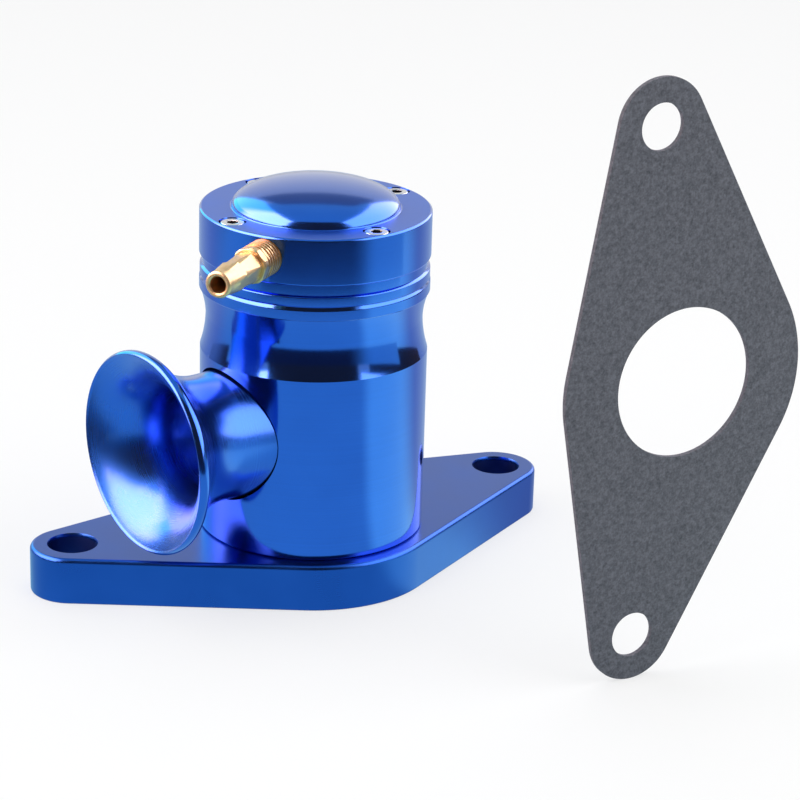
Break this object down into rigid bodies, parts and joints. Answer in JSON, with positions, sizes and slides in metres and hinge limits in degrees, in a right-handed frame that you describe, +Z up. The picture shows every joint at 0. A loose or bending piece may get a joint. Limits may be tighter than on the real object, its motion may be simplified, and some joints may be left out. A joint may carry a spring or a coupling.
{
  "type": "blow-off valve",
  "caption": "Piston blow-off valve with a two-bolt base flange, flared side outlet, domed cap, brass hose nipple and a loose gasket.",
  "frame": {"origin": "centre of the inlet bore on the base flange's underside", "axes": "+Z up along the piston's travel, +X along the line of the two flange bolts, away from the outlet"},
  "size_m": [0.1123, 0.0952, 0.109],
  "materials": {
    "blue_anodised": "polished blue anodised",
    "blue_anodised_bell": "satin blue anodised inside, polished outside",
    "plain_aluminium": "machined",
    "bright_steel": "bright",
    "dark_steel": "black oxide",
    "spring_steel": "drawn wire",
    "brass": "machined",
    "black_rubber": "matt",
    "white_plastic": "matt",
    "gasket_fibre": "compressed grey fibre, mottled"
  },
  "bodies": {
    "base": {"flange_base": "blue_anodised", "base_lock_screws": "dark_steel", "flange_gasket": "gasket_fibre"},
    "housing": {"valve_body": "blue_anodised", "base_o_ring": "black_rubber", "trumpet": "blue_anodised_bell", "trumpet_o_ring": "black_rubber", "top_cap": "blue_anodised", "cap_screws": "bright_steel", "cap_o_ring": "black_rubber", "vacuum_nipple": "brass", "return_spring": "spring_steel", "upper_spring_washer": "bright_steel"},
    "piston_unit": {"piston": "plain_aluminium", "piston_o_ring": "black_rubber", "piston_guide_ring": "white_plastic", "nose_seal": "black_rubber", "seal_retainer": "plain_aluminium", "retainer_screw": "bright_steel", "lower_spring_washer": "bright_steel"}
  },
  "joints": [
    {"name": "body_swivel", "type": "hinge", "parent": "base", "child": "housing", "pos_m": [0, 0, 0.0089], "axis": [0, 0, 1], "continuous": true},
    {"name": "piston_lift", "type": "slide", "parent": "housing", "child": "piston_unit", "axis": [0, 0, 1], "range_m": [0, 0.014], "stiffness_N_per_m": 1200, "springref_m": -0.01, "deforming": ["return_spring"]}
  ]
}
